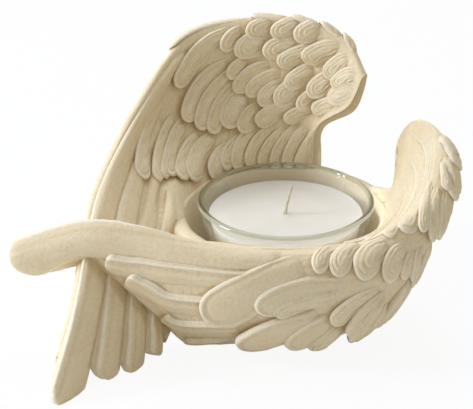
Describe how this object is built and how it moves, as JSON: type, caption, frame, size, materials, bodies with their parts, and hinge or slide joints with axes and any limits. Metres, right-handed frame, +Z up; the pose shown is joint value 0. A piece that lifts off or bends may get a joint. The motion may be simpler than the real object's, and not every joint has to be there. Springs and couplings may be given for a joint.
{
  "type": "winged tealight holder",
  "caption": "Free-standing tealight holder: a cream cast pair of feathered wings cupped round a tapered clear glass cup with wax and a wick.",
  "frame": {"origin": "on the flat base, under the axis of the glass cup", "axes": "+Z up, +X from the wing tips towards the shoulders, +Y towards the tall back wing"},
  "size_m": [0.1502, 0.1246, 0.0914],
  "materials": {
    "cast_resin": "matte cream cast, warm in the hollows",
    "glass": "clear, faint green at the rim",
    "wax": "soft white wax",
    "wick_cotton": "waxed cotton, unburnt",
    "sustainer_metal": "thin plain metal"
  },
  "bodies": {
    "root": {"wings": "cast_resin", "glass_cup": "glass", "candle_wax": "wax", "wick": "wick_cotton", "wick_sustainer": "sustainer_metal"}
  },
  "joints": []
}
